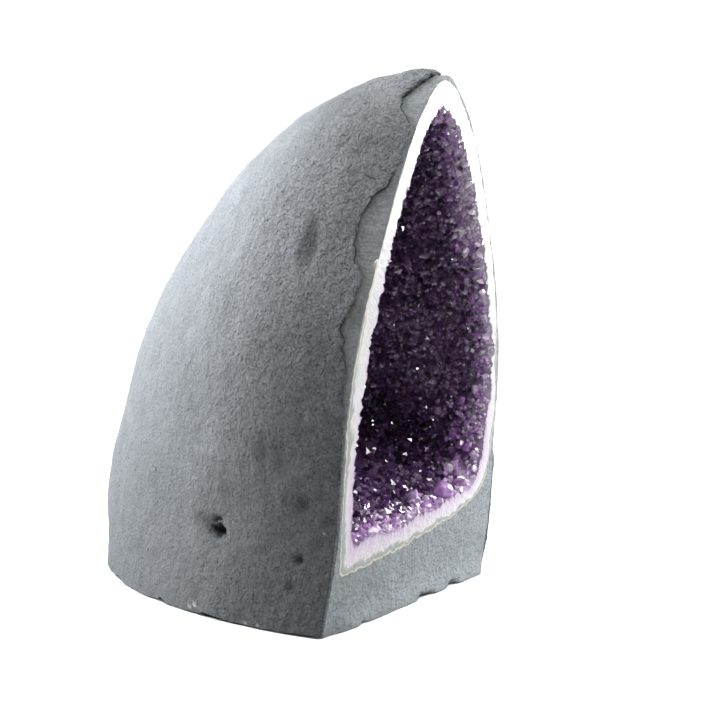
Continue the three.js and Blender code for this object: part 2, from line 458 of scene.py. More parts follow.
FLECKS = (  # (middle, radius) of the white flecks
    ((-89, -101, 67), 1.3), ((-93, 6, 4), 2.2), ((-95, 0, 6), 1.8), ((-102, -46, 2), 2),
    ((-103, -64, 2), 2.2), ((-102, -58, 3), 1.6),
)
SIDE_SHADE, SIDE_SHADE_REACH = 0.2, 76  # painted shade on the left side near the cut: how dark, and how far behind the cut it reaches
# (size of the lumps, height), over the whole coat and where it is sandiest
COAT_WAVES = ((70, 1.2), (30, 0.65), (14, 0.42), (7.5, 0.26), (4, 0.17))
COARSE_WAVES = ((5.5, 0.14), (3.6, 0.16))


def ragged_edge(height, side):
    """How far behind the cut the coat starts, with its small breaks."""
    setback = RIGHT_SETBACK * smoothstep(80, 100, height) * smoothstep(0, -1, side)
    edge = np.maximum(coat_edge(height + (CROWN - SHOULDER) * (1 - side**2)), setback)
    line = joined(side * 40, 0, height)
    breaks = 2.1 * fractal(line, 8, 4, SEED + 20) + 0.8 * noise(line, 3, SEED + 24)
    return np.maximum(edge + breaks * smoothstep(0, 2.5, edge), 0)


def dent(points, middle, size):
    """1 in the middle of a soft hollow, and 0 far from it."""
    away = (points - np.array(middle)) / np.array(size)
    return np.exp(-np.einsum("...i,...i", away, away))


def pit(points):
    """1 in the ragged hole in the coat, and 0 outside it."""
    away = np.linalg.norm((points - np.array(PIT)) / PIT_SIZE, axis=-1)
    away += layered(points, SEED + 30, (4.5, 0.38), (2.2, 0.3))
    return 1 - smoothstep(-0.1, 1.1, away)


def under_pit(points):
    """How far the layers under the coat are hollowed out behind its hole."""
    return UNDER_PIT_DEPTH * dent(points, PIT, UNDER_PIT_SIZE)


def dimples(points):
    """How deep the dimples are."""
    return sum(depth * dent(points, middle, size) for middle, size, depth in DIMPLES)


def coat_relief(points):
    """Trowelled waves, lumps and the marks in the coat's outer surface."""
    rise = layered(points, SEED, *COAT_WAVES)
    rise += coat_coarseness(points) * layered(points, SEED + 37, *COARSE_WAVES)
    rise -= dimples(points)
    return np.maximum(rise, 0.3 - COAT_THICKNESS) - PIT_DEPTH * pit(points)


def coat_painted_shade(points):
    """How much painted shade the coat has, from 0 to 1: in its hole and dimples, and on the left
    near the cut, more so low down.
    """
    low = smoothstep(250, 170, points[:, 2])
    side_shade = SIDE_SHADE * (1 + low) * np.exp(-((behind_cut(points) / SIDE_SHADE_REACH) ** 2))
    side_shade *= points[:, 0] < 0
    return np.clip(np.maximum(0.17 * dimples(points) + side_shade, 2.3 * pit(points)), 0, 1)


def coat_coarseness(points):
    """1 where the coat is sandiest, near the cut, and 0 far behind it."""
    return smoothstep(130, 35, behind_cut(points) + 12 * noise(points, 30, SEED + 36))


def coat_chalk(points):
    """How white the coat is: more than 0 only on its flecks."""
    flecks = sum(dent(points, middle, (size, size, size)) for middle, size in FLECKS)
    return 0.7 * smoothstep(0.4, 1, flecks * (1 + 1.2 * noise(points, 1.5, SEED + 35)))


def coat_rows(height, side, edge):
    """Rows of the coat: its inner face from the back forwards, its lip, and its outer face."""
    under = np.clip(edge, 0, UNDERCUT)
    start = section_angle(height, edge + under)
    inward = np.linspace(1, 0, COAT_INNER_ROWS, endpoint=False)[:, None]
    rows = [body_point(height, side, start + (math.pi / 2 - start) * inward, COAT_LIP[0][2])]
    for share, behind, grow in COAT_LIP:
        angle = section_angle(height, edge + under * share + behind)
        rows.append(body_point(height, side, angle, grow)[None])
    start = section_angle(height, edge + COAT_STEP)
    backward = np.linspace(0, 1, COAT_ROWS)[:, None] ** 1.3
    rows.append(body_point(height, side, start + (math.pi / 2 - start) * backward,
                           COAT_THICKNESS))
    return np.concatenate(rows)


def cement_coat():
    height, side = outline_columns(COAT_STEP, COAT_LIFT, CROWN_COLUMNS)
    edge = ragged_edge(height, side)
    grid = coat_rows(height, side, edge)
    count, columns = grid.shape[:2]
    row = np.repeat(np.arange(count), columns)
    left = np.arange(count) * columns
    base = np.concatenate([left, (left + columns - 1)[::-1]])
    outer = row > COAT_INNER_ROWS + 1
    grid = grid.reshape(-1, 3)
    # Painted shade in the crack under the coat's broken edge: its lip and inner face are darker
    # where the edge stands back from the cut.
    crack_shade = smoothstep(1, 4, edge) * (0.75 + 0.35 * fractal(on_cut(0 * height, height), 9, 2))
    painted_shade = np.where(row <= COAT_INNER_ROWS + 2, np.tile(crack_shade, count), coat_painted_shade(grid))

    def relief(points, normals, kept):
        rise = np.where(outer[kept], coat_relief(points), under_pit(points))
        moved = normals * rise[:, None]
        # The coat's foot is chipped: there its edge moves up.
        chips = np.maximum(fractal(points, 9, 2, SEED + 45) - 0.25, 0) * 4
        moved[:, 2] += chips * np.exp(-np.maximum(points[:, 2] - COAT_LIFT, 0) / 1.6)
        return moved

    faces = [*grid_faces(count, columns), base]
    mesh = build_mesh("cement_coat_skin", grid, faces, relief,
                      {"painted_shade": np.clip(painted_shade, 0, 1), "chalk": coat_chalk(grid),
                       "coarse": coat_coarseness(grid)})
    place(mesh, cement_material(), "cement_coat", "coat")


# ---- Rock ----

ROCK_STEP = 2
ROCK_BEVEL = 0.6  # the sawn edges are worn this much
ROCK_FRONT_ROWS, ROCK_BACK_ROWS, ROCK_WALL_ROWS = 34, 18, 14
STRIP = 26  # the rock is finely made this far behind the cut, where it shows past the coat
STRIP_STEP = 1.5
FOOT_CHIPS = ((-54, 3, 2.2), (20, 4, 6), (29, 6, 3.4), (60, 5.5, 6.5))  # (x, size, height)
FOOT_FLARE = 4  # the foot of the front, right of its left corner, stands forwards this far


def rock_ring(height, side, angle):
    """Rings round the rock: over its flanks and crown, and back along the ground."""
    width = right_edge(0) - left_edge(0)
    along_base = np.arange(1, round(width / ROCK_STEP)) * ROCK_STEP / width
    flanks = body_point(height, side, angle, 0)
    left, right = flanks[..., :1, :], flanks[..., -1:, :]
    base = right + (left - right) * along_base[:, None]
    return np.concatenate([flanks, base], axis=-2)


def rock_rows():
    """The pocket's wall from its end forwards, the sawn front, and the outside going back."""
    height, side = outline_columns(ROCK_STEP, 0, CROWN_COLUMNS)
    arm = rock_ring(height, side, section_angle(height, 0))[:, [0, 2]] - POCKET_MIDDLE
    direction = np.arctan2(arm[:, 1], arm[:, 0])
    rim = rim_radius(direction)
    wall = wall_point(direction, rim, deepening(ROCK_WALL_ROWS)[:0:-1], ROCK_DEPTH)
    front = front_rows(direction, rim, np.hypot(*arm.T) - ROCK_BEVEL, ROCK_FRONT_ROWS)
    behind = np.concatenate([[ROCK_BEVEL], np.arange(ROCK_STEP, STRIP, STRIP_STEP)])[:, None]
    strip = rock_ring(height, side, section_angle(height, behind))
    start = section_angle(height, STRIP)
    turn = np.linspace(0, 1, ROCK_BACK_ROWS)[:, None]
    back = rock_ring(height, side, start + (math.pi / 2 - start) * turn)
    return wall, front, np.concatenate([strip, back])


def rock_shell():
    wall, front, outside = rock_rows()
    grid = np.concatenate([wall, front, outside])
    count, columns = grid.shape[:2]
    row = np.repeat(np.arange(count), columns)
    sawn = (row >= len(wall)) & (row < len(wall) + len(front))

    def relief(points, normals, kept):
        lumps = layered(points, SEED + 50, (13, 0.28), (5, 0.16))
        waves = layered(points, SEED + 52, (22, 0.5), (6, 0.22))
        rise = np.where(sawn[kept], lumps, waves - 0.3)
        on_ground = (points[:, 2] < 0.01) & ~sawn[kept]
        rise = np.where(on_ground, 0, rise)
        moved = normals * (rise - under_pit(points))[:, None]
        return moved + worn_base(points)

    faces = [*grid_faces(count, columns, closed=True), np.arange(columns)[::-1]]
    mesh = build_mesh("rock_shell_skin", grid.reshape(-1, 3), faces, relief,
                      {"sawn": sawn.astype(float)})
    place(mesh, rock_material(), "rock_shell", "rock")


def worn_base(points):
    """The front's foot flares forwards, and is chipped: there its edge moves up and back."""
    behind = np.abs(behind_cut(points))
    low = np.maximum(points[:, 2], 0)
    chips = sum(height * np.exp(-(((points[:, 0] - x) / size) ** 2))
                for x, size, height in FOOT_CHIPS)
    chips *= np.exp(-behind / 2.5 - low / 2.5)
    flare = FOOT_FLARE * smoothstep(-97, -72, points[:, 0])
    flare *= np.exp(-behind / 6 - (low / 10) ** 2)
    return chips[:, None] * (0, 0.8, 1) - flare[:, None] * (0, 1, 0)


# ---- Agate and quartz linings ----

LINING_STEP = 0.85
LINING_WALL_ROWS = 10
AGATE_FRONT_ROWS, QUARTZ_FRONT_ROWS, CAVITY_ROWS = 7, 12, 56
SNUG = 0.05  # gap between two layers


def lining(name, outer, front, inner, relief):
    """
    A closed layer of the pocket's wall from three grids of points: its outer wall from the back
    forwards, its flat front from the outside in, and its inner wall from the front back. For its
    material, each point knows how far across the layer it is, from 0 to 1, the place on the
    layer's outer edge that it belongs to, and how deep in the pocket it is.
    """
    grid = np.concatenate([outer, front, inner])
    count, columns = grid.shape[:2]
    across = np.concatenate([
        np.zeros(len(outer)), np.linspace(0, 1, len(front)), np.ones(len(inner)),
    ])
    across = np.repeat(across, columns)
    points = grid.reshape(-1, 3)
    root = np.tile(front[0] * MM, (count, 1))
    deep = np.clip(behind_cut(points) / PALE_DEPTH, 0, 1)
    caps = [np.arange(columns)[::-1], np.arange(columns) + (count - 1) * columns]
    faces = [*grid_faces(count, columns, closed=True), *caps]
    return build_mesh(name, points, faces, lambda p, n, kept: relief(p, n, across[kept]),
                      {"across": across, "root": root, "deep": deep})


def agate_rind():
    direction = rim_directions(LINING_STEP)
    reach = deepening(LINING_WALL_ROWS)
    outside = rim_radius(direction) - SNUG
    inside = agate_radius(direction)
    outer = wall_point(direction, outside, reach[:0:-1], ROCK_DEPTH - SNUG)
    front = front_rows(direction, outside, inside, AGATE_FRONT_ROWS)
    inner = wall_point(direction, inside, reach[1:], AGATE_DEPTH)

    def relief(points, normals, across):
        rise = layered(points, SEED + 70, (5, 0.16), (2.2, 0.1))
        return normals * (rise * (across < 1))[:, None]

    mesh = lining("agate_line", outer, front, inner, relief)
    place(mesh, agate_material(), "agate_rind", "agate")


def quartz_bed():
    """The white quartz between the agate and the points, and the bed that they stand on."""
    direction = rim_directions(LINING_STEP)
    outside = agate_radius(direction) - SNUG
    inside = toothed_radius(direction)
    outer = wall_point(direction, outside, deepening(LINING_WALL_ROWS)[:0:-1],
                       AGATE_DEPTH - SNUG)
    front = front_rows(direction, outside, inside, QUARTZ_FRONT_ROWS)
    inner = cavity_point(direction, deepening(CAVITY_ROWS, CAVITY_DEEPEST)[1:])

    def relief(points, normals, across):
        comb = layered(points, SEED + 80, (1.8, 0.16), (4, 0.14))
        bitten = smoothstep(0.8, 1, across) * (0.3 + 0.6 * noise(points, 2.5, SEED + 82))
        return normals * np.where(across < 1, comb - bitten, 0)[:, None]

    mesh = lining("quartz_bed", outer, front, inner, relief)
    place(mesh, quartz_material(), "amethyst_crystals", "amethyst")


# ---- Amethyst points ----

POINT_SIZES = ((2.7, 700), (2.0, 5000), (1.5, 16000), (1.1, 42000))  # (radius, how many to try)
# Round clusters standing on the floor: (x, how far behind the cut, height, radius).
ROSETTES = ((59, 8.2, 66, 7.2), (33.5, 6.5, 60, 4.4), (91, 7.5, 72.5, 5))
ROSETTE_FLATS, ROSETTE_GRID = 60, (20, 36)
GOLDEN_ANGLE = math.pi * (3 - math.sqrt(5))
POINT_CORNERS = 13  # six round the foot, six round the shoulder, and the tip
HOLLOW, HOLLOW_SIZE = (82, -34, 104), (38, 50, 26)  # the darkest place, low on the right wall: painted shade darkens the points here
LIT_WALL, LIT_WALL_SIZE = (96, -68, 150), (34, 26, 40)  # the points here are paler: painted light
FLOOR_GROWTH = 0.28  # the floor's points are this much bigger
POINT_CROWDING = 0.66  # how near two points may stand, as a share of their radii together
POINT_LEAN = 0.45  # how far the points lean from straight into the pocket
POINTS_PER_PIECE = 7000
PALE_DEPTH = 26  # painted light: the points, and the quartz bed under them, turn pale towards the cut from this far behind it
# The colours of the darkest, a middling and the palest point.
DARK_TINT = ((0.06, 0.025, 0.09), (0.29, 0.12, 0.38), (0.8, 0.6, 0.9))
PALE_TINT = ((0.34, 0.14, 0.44), (0.6, 0.34, 0.71), (0.95, 0.83, 0.98))
DEPTH_TINT = (0.5, 0.3, 0.6)  # the colour that light takes on inside a point


def spread_points(rng):
    """Directions, reaches and radii of points spread over the cavity's wall, big ones first."""
    direction = np.linspace(-math.pi, math.pi, 500)
    reach = deepening(300, CAVITY_DEEPEST)
    wall = cavity_point(direction, reach)
    steps = np.cross(np.diff(wall, axis=0)[:, :-1], np.diff(wall, axis=1)[:-1])
    areas = np.linalg.norm(steps, axis=-1)
    chances = areas.ravel() / areas.sum()
    taken = {}
    cell = 2.4 * POINT_SIZES[0][0] * (1 + FLOOR_GROWTH) * POINT_CROWDING
    chosen = []
    for size, tries in POINT_SIZES:
        picks = rng.choice(len(chances), tries, p=chances)
        rows, columns = np.unravel_index(picks, areas.shape)
        offset = rng.random((2, tries))
        where = direction[columns] + offset[0] * (direction[1] - direction[0])
        deep = reach[rows, 0] + offset[1] * (reach[rows + 1, 0] - reach[rows, 0])
        places = cavity_point(where, deep)
        growth = 1 + FLOOR_GROWTH * smoothstep(110, 80, places[:, 2])
        radii = size * growth * rng.uniform(0.82, 1.12, tries)
        for i, (point, radius) in enumerate(zip(places.tolist(), radii)):
            home = tuple(int(v // cell) for v in point)
            near = (taken.get((home[0] + a, home[1] + b, home[2] + c), ())
                    for a in (-1, 0, 1) for b in (-1, 0, 1) for c in (-1, 0, 1))
            if any(math.dist(point, other) < POINT_CROWDING * (radius + reach_of)
                   for group in near for other, reach_of in group):
                continue
            taken.setdefault(home, []).append((point, radius))
            chosen.append((where[i], deep[i], radius))
    return np.array(chosen).T


def wall_frames(direction, reach):
    """Places on the cavity's wall, with the direction into the pocket there."""
    small = 0.004
    near = cavity_point(direction, np.maximum(reach - small, 0))
    far = cavity_point(direction, np.minimum(reach + small, 0.9995))  # short of the wall's end
    beside = cavity_point(direction + small, reach) - cavity_point(direction - small, reach)
    inward = unit(np.cross(beside, far - near))
    places = cavity_point(direction, reach)
    middle = np.array([POCKET_MIDDLE[0], 0, POCKET_MIDDLE[1]])
    to_middle = (middle - places) * (1, 0, 1) - (0, 60, 0)
    facing = np.sign(np.einsum("ij,ij->i", inward, to_middle))
    return places, inward * facing[:, None]


def crystal_points(rng, places, axes, radii):
    """Points of six-sided crystals: rings at the foot and the shoulder, and an off-centre tip."""
    count = len(places)
    axes = unit(axes + rng.normal(0, POINT_LEAN, (count, 3)))
    helper = np.where(np.abs(axes[:, [2]]) < 0.8, (0, 0, 1), (1, 0, 0))
    u = unit(np.cross(axes, helper))
    v = np.cross(axes, u)
    turn = rng.uniform(0, math.pi, count)[:, None] + np.arange(6) * math.pi / 3
    wide = radii[:, None] * rng.uniform(0.86, 1.14, (count, 6))
    across = wide[..., None] * (np.cos(turn)[..., None] * u[:, None]
                                + np.sin(turn)[..., None] * v[:, None])
    shoulder = radii * rng.uniform(0.1, 1.0, count)
    slant = rng.normal(0, 0.22, (count, 2))
    lift = shoulder[:, None] + wide * (np.cos(turn) * slant[:, :1] + np.sin(turn) * slant[:, 1:])
    tip_height = shoulder + radii * rng.uniform(0.95, 1.35, count)
    tip_shift = rng.normal(0, 0.22, (count, 2)) * radii[:, None]
    foot = places[:, None] + across - axes[:, None] * radii[:, None, None] * 0.9
    top = places[:, None] + across + axes[:, None] * lift[..., None]
    tip = places + axes * tip_height[:, None] + u * tip_shift[:, :1] + v * tip_shift[:, 1:]
    return np.concatenate([foot, top, tip[:, None]], axis=1)


def crystal_faces(count):
    """The sides, the slopes to the tip and the feet of this many points."""
    side = np.arange(6)
    beside = (side + 1) % 6
    sides = joined(side, beside, beside + 6, side + 6)
    slopes = joined(side + 6, beside + 6, 12)
    first = np.arange(count)[:, None, None] * POINT_CORNERS
    return [*(sides + first).reshape(-1, 4).tolist(), *(slopes + first).reshape(-1, 3).tolist(),
            *(side[::-1] + first[:, 0]).tolist()]


def spiral(count):
    """Unit vectors spread evenly over a sphere."""
    turn = np.arange(count) * GOLDEN_ANGLE
    up = np.linspace(-0.98, 0.98, count)
    flat = np.sqrt(1 - up**2)
    return joined(flat * np.cos(turn), flat * np.sin(turn), up)


def rosettes(material):
    """The round clusters: balls of crystal with many flat faces."""
    points, faces = [], []
    rows, columns = ROSETTE_GRID
    polar = np.linspace(0, math.pi, rows)[:, None]
    turn = np.arange(columns) * 2 * math.pi / columns
    flat = np.sin(polar)
    outward = joined(flat * np.cos(turn), flat * np.sin(turn), np.cos(polar)).reshape(-1, 3)
    for number, (x, behind, z, size) in enumerate(ROSETTES):
        flats = spiral(ROSETTE_FLATS) * (1 + 0.05 * lattice(np.arange(ROSETTE_FLATS), 0, number,
                                                            SEED + 95))[:, None]
        radius = size / (outward @ flats.T).max(axis=1)
        points.append((x, cut_y(z) + behind, z) + outward * radius[:, None])
        faces += grid_faces(rows, columns, closed=True, first=number * len(outward)).tolist()
    points = np.concatenate(points)
    tone = 0.46 + 0.34 * noise(points, 3, SEED + 96)
    mesh = build_mesh("amethyst_rosettes", points, faces, attributes={"tone": tone},
                      smooth_angle=12)
    place(mesh, material, "amethyst_crystals", "amethyst")


def clear_of_rosettes(places, radii):
    """True for the points that don't stand in a round cluster."""
    clear = np.ones(len(places), bool)
    for x, behind, z, size in ROSETTES:
        away = np.linalg.norm(places - (x, cut_y(z) + behind, z), axis=1)
        clear &= away > size + 0.5 * radii
    return clear


def point_shades(rng, places, behind):
    """How pale each point is in its material, from 0 to 1, with painted light and shade in it, and
    whether it is of the pale one.
    """
    height = places[:, 2]
    tone = 0.5 + 0.28 * rng.normal(size=len(places)) + 0.14 * noise(places, 30, SEED + 91)
    # Painted shade: the points in the hollow are darker.
    tone -= 0.6 * dent(places, HOLLOW, HOLLOW_SIZE)
    # Painted light: the points on the lit wall and on the floor are paler.
    tone += 0.28 * dent(places, LIT_WALL, LIT_WALL_SIZE)
    tone = np.clip(tone + 0.12 * smoothstep(106, 90, height), 0, 1)
    # Painted light: near the cut and high on the wall more of the points are pale ones, and these
    # are whiter still, most of all by the cut on the right.
    high = smoothstep(190, 250, height) * (1 - 0.6 * smoothstep(285, 312, height))
    light = smoothstep(PALE_DEPTH, 2, behind + 7 * noise(places, 14, SEED + 90))
    light = np.maximum(light, 0.05 * high * smoothstep(60, 30, behind))
    light = np.maximum(light, high * smoothstep(26, 10, behind))
    pale = rng.random(len(places)) < light
    brighter = 0.2 * smoothstep(12, 3, behind) + 0.32 * high * smoothstep(20, 6, behind)
    brighter += 0.4 * smoothstep(6, 2, behind) * smoothstep(40, 70, places[:, 0])
    return np.where(pale, np.clip(tone + brighter, 0, 1), tone), pale


def place_points(label, material, corners, tone):
    """Joins points into pieces that are not too big."""
    for number, start in enumerate(range(0, len(corners), POINTS_PER_PIECE), 1):
        part = corners[start:start + POINTS_PER_PIECE]
        mesh = bpy.data.meshes.new(f"amethyst_{label}_{number}")
        points = to_frame(part.reshape(-1, 3))
        mesh.from_pydata(points.tolist(), [], crystal_faces(len(part)))
        add_attribute(mesh, "tone", np.repeat(tone[start:start + len(part)], POINT_CORNERS))
        if signed_volume(mesh) < 0:
            mesh.flip_normals()
        mesh.update()
        place(mesh, material, "amethyst_crystals", "amethyst")


def amethyst_points():
    rng = np.random.default_rng(SEED)
    direction, reach, radii = spread_points(rng)
    places, inward = wall_frames(direction, reach)
    corners = crystal_points(rng, places, inward, radii)
    kept = behind_cut(corners).min(axis=1) > 0.2
    kept &= clear_of_rosettes(places, radii)
    corners, places = corners[kept], places[kept]
    behind = behind_cut(places)
    tone, pale = point_shades(rng, places, behind)
    clear = amethyst_material("amethyst_pale", PALE_TINT, 0.5, 60)
    deep = amethyst_material("amethyst", DARK_TINT, 0.8, 160)
    rosettes(clear)
    for label, chosen, material in (("pale", pale, clear), ("dark", ~pale, deep)):
        order = np.flatnonzero(chosen)
        order = order[np.argsort(behind[order])]
        place_points(label, material, corners[order], tone[order])


# ---- Materials ----


def new_material(name):
    """A material and its node tree."""
    material = bpy.data.materials.new(name)
    material.use_nodes = True
    return material, material.node_tree


def fill(tree, shader, sockets):
    """Fills a shader node's inputs with values or links."""
    for name, value in sockets.items():
        if isinstance(value, bpy.types.NodeSocket):
            tree.links.new(value, shader.inputs[name])
        else:
            shader.inputs[name].default_value = value


def surface(tree, sockets):
    """Sets up the Principled shader of a material."""
    fill(tree, tree.nodes["Principled BSDF"], sockets)


def node(tree, kind, sockets=None, **options):
    """Adds a shader node, sets its options and fills its inputs."""
    made = tree.nodes.new("ShaderNode" + kind)
    for option, value in options.items():
        setattr(made, option, value)
    fill(tree, made, sockets or {})
    return made


def texture(tree, size_mm, detail=3, roughness=0.55, vector=None, stretch=(1, 1, 1)):
    """Noise from 0 to 1 with lumps of about this size."""
    if vector is None:
        vector = node(tree, "TexCoord").outputs["Object"]
    place = node(tree, "VectorMath", {0: vector, 1: stretch}, operation="MULTIPLY")
    made = node(tree, "TexNoise", {
        "Vector": place.outputs[0], "Scale": 1 / (size_mm * MM), "Detail": detail,
        "Roughness": roughness,
    })
    return made.outputs["Fac"]


def rgba(colour):
    """A grey or a colour with its alpha; a link stays as it is."""
    if isinstance(colour, bpy.types.NodeSocket):
        return colour
    if isinstance(colour, (int, float)):
        colour = (colour, colour, colour)
    return (*colour, 1)


def ramp(tree, factor, *stops):
    """A colour ramp; each stop is (position, grey or colour)."""
    made = node(tree, "ValToRGB", {"Fac": factor})
    elements = made.color_ramp.elements
    while len(elements) < len(stops):
        elements.new(0.5)
    for element, (position, colour) in zip(elements, stops):
        element.position = position
        element.color = rgba(colour)
    return made.outputs["Color"]


def mix(tree, factor, first, second, how="MIX"):
    """The first colour where the factor is 0, and the second where it is 1."""
    made = node(tree, "Mix", {0: factor, 6: rgba(first), 7: rgba(second)},
                data_type="RGBA", blend_type=how)
    return made.outputs[2]


def multiplied(tree, first, *others):
    """Colours multiplied together."""
    for colour in others:
        first = mix(tree, 1.0, first, colour, "MULTIPLY")
    return first


def bump(tree, height, distance_mm, normal=None):
    """Relief from a height, laid over the relief of a normal if there is one."""
    sockets = {"Height": height, "Distance": distance_mm * MM}
    if normal is not None:
        sockets["Normal"] = normal
    return node(tree, "Bump", sockets).outputs[0]


def scaled(tree, height, factor, low, high):
    """A height made low to high times as big, as the factor goes from 0 to 1."""
    share = between(tree, factor, 0, 1, low, high)
    return node(tree, "Math", {0: height, 1: share}, operation="MULTIPLY").outputs[0]


def wandering(tree, value, pattern, amount, offset):
    """A value that a pattern moves up and down."""
    moved = node(tree, "Math", {0: pattern, 1: amount, 2: offset},
                 operation="MULTIPLY_ADD")
    made = node(tree, "Math", {0: value, 1: moved.outputs[0]}, operation="ADD")
    return made.outputs[0]


def attribute(tree, name, output="Fac"):
    return node(tree, "Attribute", attribute_name=name).outputs[output]


def coordinate(tree, axis):
    """The place along x, y or z (axis 0, 1 or 2), in metres."""
    place = node(tree, "TexCoord").outputs["Object"]
    return node(tree, "SeparateXYZ", {0: place}).outputs[axis]


def between(tree, value, low, high, at_low=0, at_high=1):
    """A number that goes from at_low to at_high as the value goes from low to high."""
    made = node(tree, "MapRange", {0: value, 1: low, 2: high, 3: at_low, 4: at_high})
    return made.outputs[0]


def cement_material():
    """Sandy grey render, painted darker low down, with painted shade in its hole, dimples,
    pinholes and the crack under its broken edge, and on the left near the cut.
    """
    material, tree = new_material("cement")
    patches = ramp(tree, texture(tree, 45, 4), (0.3, (0.187, 0.195, 0.202)),
                   (0.7, (0.206, 0.215, 0.223)))
    stains = ramp(tree, texture(tree, 13, 3), (0.35, 0.92), (0.6, 1.03))
    grain = ramp(tree, texture(tree, 1.4, 3, 0.75), (0.3, 0.56), (0.47, 1), (0.7, 1.24))
    # Small dark spots: painted shade of pinholes that the mesh does not have.
    pinhole_shade = ramp(tree, texture(tree, 3.2, 1), (0.24, 0.35), (0.29, 1))
    coarse = attribute(tree, "coarse")
    pepper = ramp(tree, texture(tree, 1.8, 3, 0.7), (0.33, 0.8), (0.48, 1.12), (0.7, 1.3))
    grain = mix(tree, coarse, grain, multiplied(tree, grain, pepper))
    # Painted shade: the coat grows darker towards the ground.
    lit = between(tree, coordinate(tree, 2), 0, 0.28, 0.44)
    colour = multiplied(tree, patches, grain, stains, pinhole_shade, lit)
    # Painted shade: near-black in the hole, darker in the dimples, in the crack and on the left
    # near the cut.
    colour = mix(tree, attribute(tree, "painted_shade"), colour, 0.012)
    colour = mix(tree, attribute(tree, "chalk"), colour, 0.42)
    rough = ramp(tree, texture(tree, 6, 2), (0.3, 0.82), (0.7, 0.96))
    sand = bump(tree, scaled(tree, texture(tree, 1.8, 3, 0.65), coarse, 1, 5), 1.1)
    stucco = bump(tree, scaled(tree, texture(tree, 5, 3, 0.5), coarse, 1, 4.2), 1.2, normal=sand)
    surface(tree, {
        "Base Color": colour, "Roughness": rough, "Normal": stucco, "Specular IOR Level": 0.3,
    })
    return material


def rock_material():
    """Grey basalt, with fine specks where it was sawn."""
    material, tree = new_material("basalt")
    sawn = attribute(tree, "sawn")
    bare = ramp(tree, texture(tree, 20, 4), (0.3, (0.15, 0.16, 0.162)),
                (0.7, (0.2, 0.212, 0.214)))
    front = ramp(tree, texture(tree, 30, 4), (0.3, (0.142, 0.157, 0.166)),
                 (0.7, (0.182, 0.2, 0.211)))
    specks = ramp(tree, texture(tree, 1.5, 3, 0.7, stretch=(0.6, 0.6, 1)),
                  (0.3, 0.3), (0.43, 0.92), (0.66, 1.2))
    stains = ramp(tree, texture(tree, 5, 3), (0.35, 0.9), (0.62, 1.05))
    # Painted shade: the sawn front is darker towards its left.
    shade = between(tree, coordinate(tree, 0), -0.1, -0.01, 0.83)
    worn = ramp(tree, texture(tree, 2.2, 4, 0.65), (0.35, 0.78), (0.65, 1.14))
    colour = mix(tree, sawn, multiplied(tree, bare, worn),
                 multiplied(tree, front, specks, stains, shade))
    saw_marks = bump(tree, texture(tree, 1.3, 2, stretch=(0.12, 0.12, 1)), 0.35)
    grain = bump(tree, texture(tree, 1.4, 3, 0.6, stretch=(0.6, 0.6, 1)), 0.4, normal=saw_marks)
    lumps = bump(tree, texture(tree, 5, 2), 1.2, normal=grain)
    surface(tree, {
        "Base Color": colour, "Roughness": 0.85, "Normal": lumps, "Specular IOR Level": 0.35,
    })
    return material


def agate_material():
    """Grey-green chalcedony low down and cream higher up, with a tan crust on the outside."""
    material, tree = new_material("agate")
    line = wandering(tree, attribute(tree, "across"), texture(tree, 6, 3), 1.1, -0.59)
    green = ramp(tree, line, (0.0, (0.15, 0.13, 0.095)), (0.12, (0.36, 0.34, 0.27)),
                 (0.22, (0.3, 0.29, 0.24)), (0.32, (0.15, 0.17, 0.165)),
                 (0.7, (0.19, 0.21, 0.205)), (0.88, (0.3, 0.31, 0.28)), (1.0, (0.38, 0.37, 0.37)))
    cream = ramp(tree, line, (0.0, (0.2, 0.17, 0.12)), (0.16, (0.42, 0.4, 0.36)),
                 (0.5, (0.27, 0.24, 0.19)), (0.62, (0.44, 0.44, 0.43)), (1.0, 0.46))
    colour = mix(tree, between(tree, coordinate(tree, 2), 0.15, 0.19), green, cream)
    grain = bump(tree, texture(tree, 1.5, 3), 0.12)
    surface(tree, {"Base Color": colour, "Roughness": 0.4, "Normal": grain})
    return material


def quartz_material():
    """Milky quartz: lilac low down and towards the points; its bed is dark purple deep in the
    pocket and keeps the front's paler colour near the cut, as painted light.
    """
    material, tree = new_material("quartz")
    comb = texture(tree, 2.4, 3, 0.6, vector=attribute(tree, "root", "Vector"))
    line = wandering(tree, attribute(tree, "across"), comb, 0.9, -0.45)
    white = ramp(tree, line, (0.0, 0.42), (0.8, (0.41, 0.4, 0.415)), (1.0, (0.35, 0.31, 0.37)))
    lilac = ramp(tree, line, (0.0, (0.37, 0.35, 0.38)), (0.5, (0.35, 0.31, 0.365)),
                 (0.85, (0.32, 0.265, 0.345)), (1.0, (0.22, 0.15, 0.25)))
    front = mix(tree, between(tree, coordinate(tree, 2), 0.09, 0.16), lilac, white)
    # Painted light: within PALE_DEPTH of the cut the bed keeps the front's pale colour, and deeper
    # in it turns dark purple.
    deep = ramp(tree, attribute(tree, "deep"), (0.05, 0.0), (0.9, 1.0))
    colour = mix(tree, deep, front, (0.03, 0.02, 0.042))
    grain = bump(tree, texture(tree, 1.8, 3), 0.4)
    surface(tree, {"Base Color": colour, "Roughness": 0.35, "Normal": grain})
    return material


def amethyst_material(name, tints, transmission, density):
    """Clear purple crystal; tints go from the darkest points to the palest."""
    material, tree = new_material(name)
    tint = ramp(tree, attribute(tree, "tone"), *zip((0.0, 0.5, 1.0), tints))
    surface(tree, {
        "Base Color": tint, "Roughness": 0.03, "IOR": 1.545, "Transmission Weight": transmission,
        "Specular IOR Level": 0.9,
    })
    absorbed = node(tree, "VolumeAbsorption", {"Color": rgba(DEPTH_TINT), "Density": density})
    fill(tree, tree.nodes["Material Output"], {"Volume": absorbed.outputs[0]})
    return material


# ---- Light, floor and camera ----

